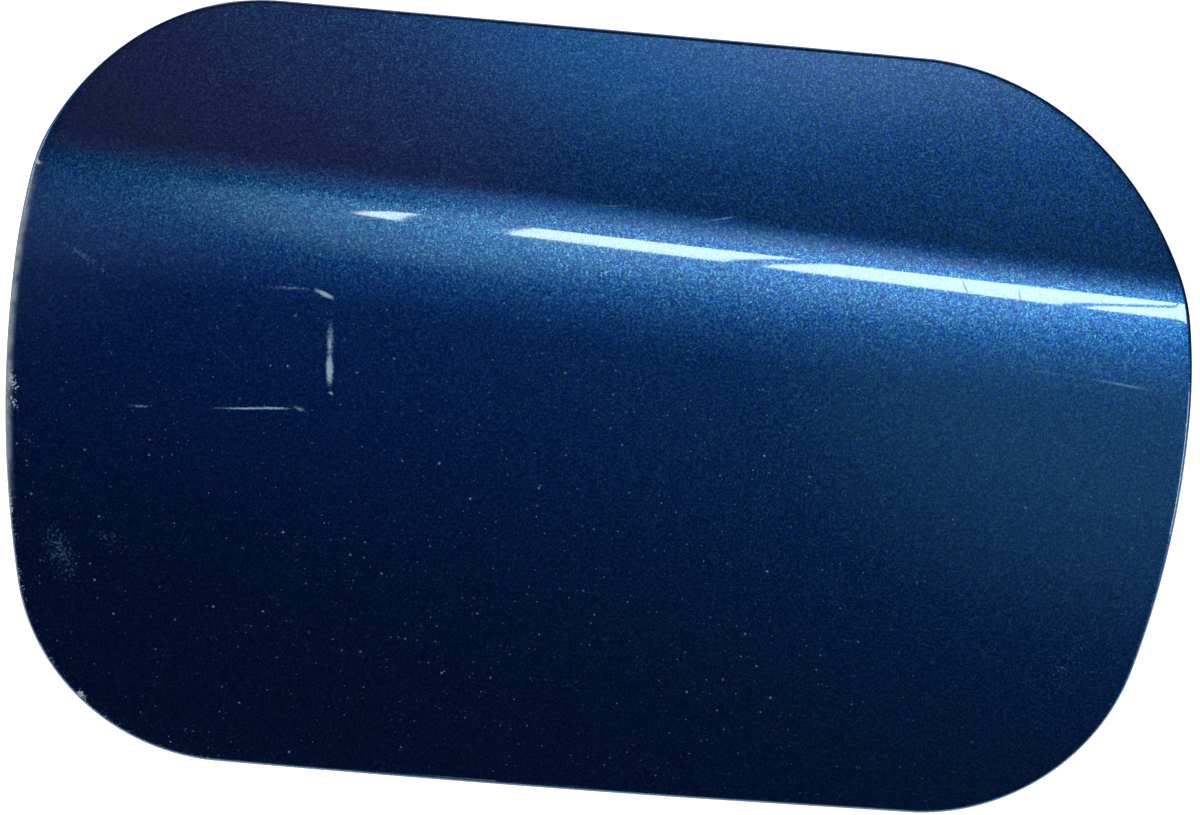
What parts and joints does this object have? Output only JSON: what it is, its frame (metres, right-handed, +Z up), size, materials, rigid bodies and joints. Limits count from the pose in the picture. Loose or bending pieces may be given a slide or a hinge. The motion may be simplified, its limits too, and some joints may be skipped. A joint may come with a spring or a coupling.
{
  "type": "car fuel door",
  "caption": "Creased, painted steel car fuel door with a hemmed edge, a sprung side hinge on a bolt-on bracket, a lock striker and a filler cap rest.",
  "frame": {"origin": "middle of the hinge bracket's bolt line, on the face that lies on the car", "axes": "+X along the car towards the hinge side, +Y into the car, +Z up; the painted face looks along -Y"},
  "size_m": [0.19, 0.0436, 0.125],
  "materials": {
    "body_paint": "metallic blue under gloss clear coat, chipped and scuffed at the edges",
    "inner_paint": "satin blue",
    "arm_paint": "satin black dip coat",
    "sealer": "painted sealer",
    "zinc": "zinc plate",
    "spring_steel": "oiled spring steel",
    "bush_plastic": "natural nylon",
    "black_plastic": "grained black",
    "rubber": "matt black"
  },
  "bodies": {
    "bracket": {"hinge_bracket": "arm_paint", "hinge_pin": "zinc", "pin_clip": "spring_steel", "spring_sleeve": "bush_plastic", "door_spring": "spring_steel"},
    "door": {"outer_skin": "body_paint", "inner_panel": "inner_paint", "hem_sealer": "sealer", "hinge_doubler": "inner_paint", "latch_doubler": "inner_paint", "weld_nuts": "zinc", "hinge_arm": "arm_paint", "arm_screws": "zinc", "upper_bush": "bush_plastic", "lower_bush": "bush_plastic", "latch_striker": "zinc", "striker_rivets": "zinc", "upper_bump_stop": "rubber", "lower_bump_stop": "rubber", "cap_holder": "black_plastic", "cap_holder_screws": "zinc"}
  },
  "joints": [
    {"name": "door_hinge", "type": "hinge", "parent": "bracket", "child": "door", "pos_m": [0.014, -0.024, 0], "axis": [0, 0, 1], "range_deg": [0, 95]}
  ]
}
